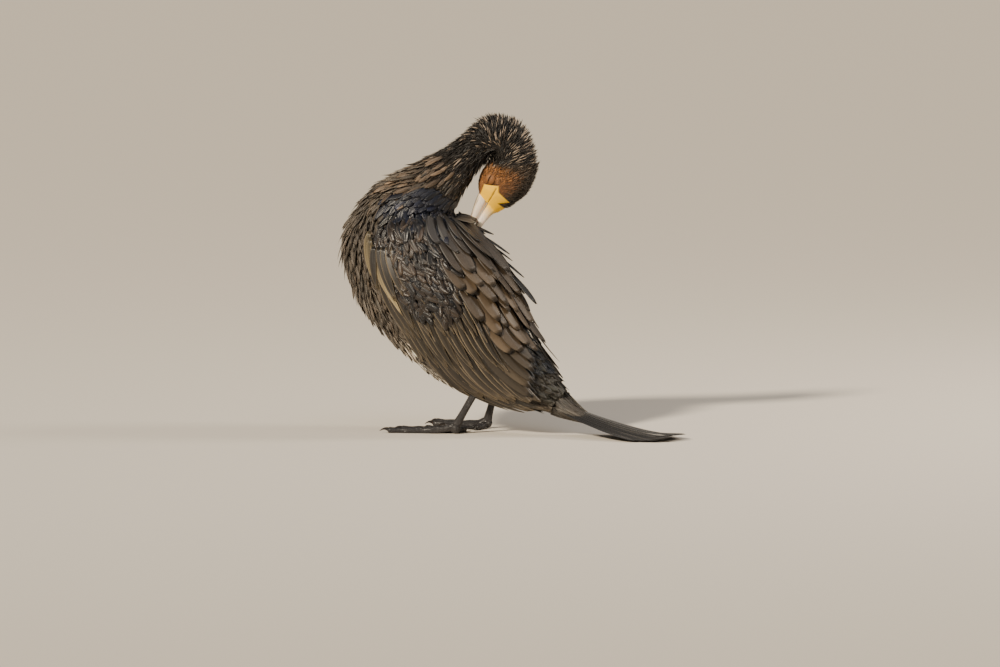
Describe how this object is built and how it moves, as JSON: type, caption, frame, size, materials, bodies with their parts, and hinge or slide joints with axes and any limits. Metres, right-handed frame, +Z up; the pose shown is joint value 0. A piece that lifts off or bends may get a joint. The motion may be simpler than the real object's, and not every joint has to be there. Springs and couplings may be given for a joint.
{
  "type": "cormorant",
  "caption": "Life-size museum model of an immature cormorant standing on webbed feet, its neck bent back to preen its mantle, wings folded and stiff tail laid on the floor.",
  "frame": {"origin": "middle of the pad of the left foot's middle toe, on the ground", "axes": "+Z up; -X the way the breast and toes face, so +X runs back along the tail; +Y towards the bird's right side"},
  "size_m": [0.425, 0.161, 0.3591],
  "materials": {
    "body_plumage": "matte brown-black feathers with paler fringes",
    "neck_plumage": "ruffled dark brown feathers with pale streaks",
    "head_plumage": "velvety short brown feathers and yellow bare skin at the bill",
    "wing_plumage": "satin grey-brown feathers with dark edges",
    "tail_plumage": "stiff satin blackish feathers with pale shafts",
    "bill": "smooth pale horn with a grey-brown ridge",
    "eye": "polished dark",
    "leg_skin": "scaly dark grey skin",
    "claw": "smooth black horn"
  },
  "bodies": {
    "root": {"torso": "body_plumage", "neck_base": "neck_plumage", "neck_middle": "neck_plumage", "neck_upper": "neck_plumage", "head": "head_plumage", "upper_bill": "bill", "lower_bill": "bill", "tail": "tail_plumage", "left_eye": "eye", "left_wing": "wing_plumage", "left_thigh": "body_plumage", "left_tarsus": "leg_skin", "left_foot": "leg_skin", "left_outer_claw": "claw", "left_middle_claw": "claw", "left_inner_claw": "claw", "left_hind_claw": "claw", "right_eye": "eye", "right_wing": "wing_plumage", "right_thigh": "body_plumage", "right_tarsus": "leg_skin", "right_foot": "leg_skin", "right_outer_claw": "claw", "right_middle_claw": "claw", "right_inner_claw": "claw", "right_hind_claw": "claw"}
  },
  "joints": []
}
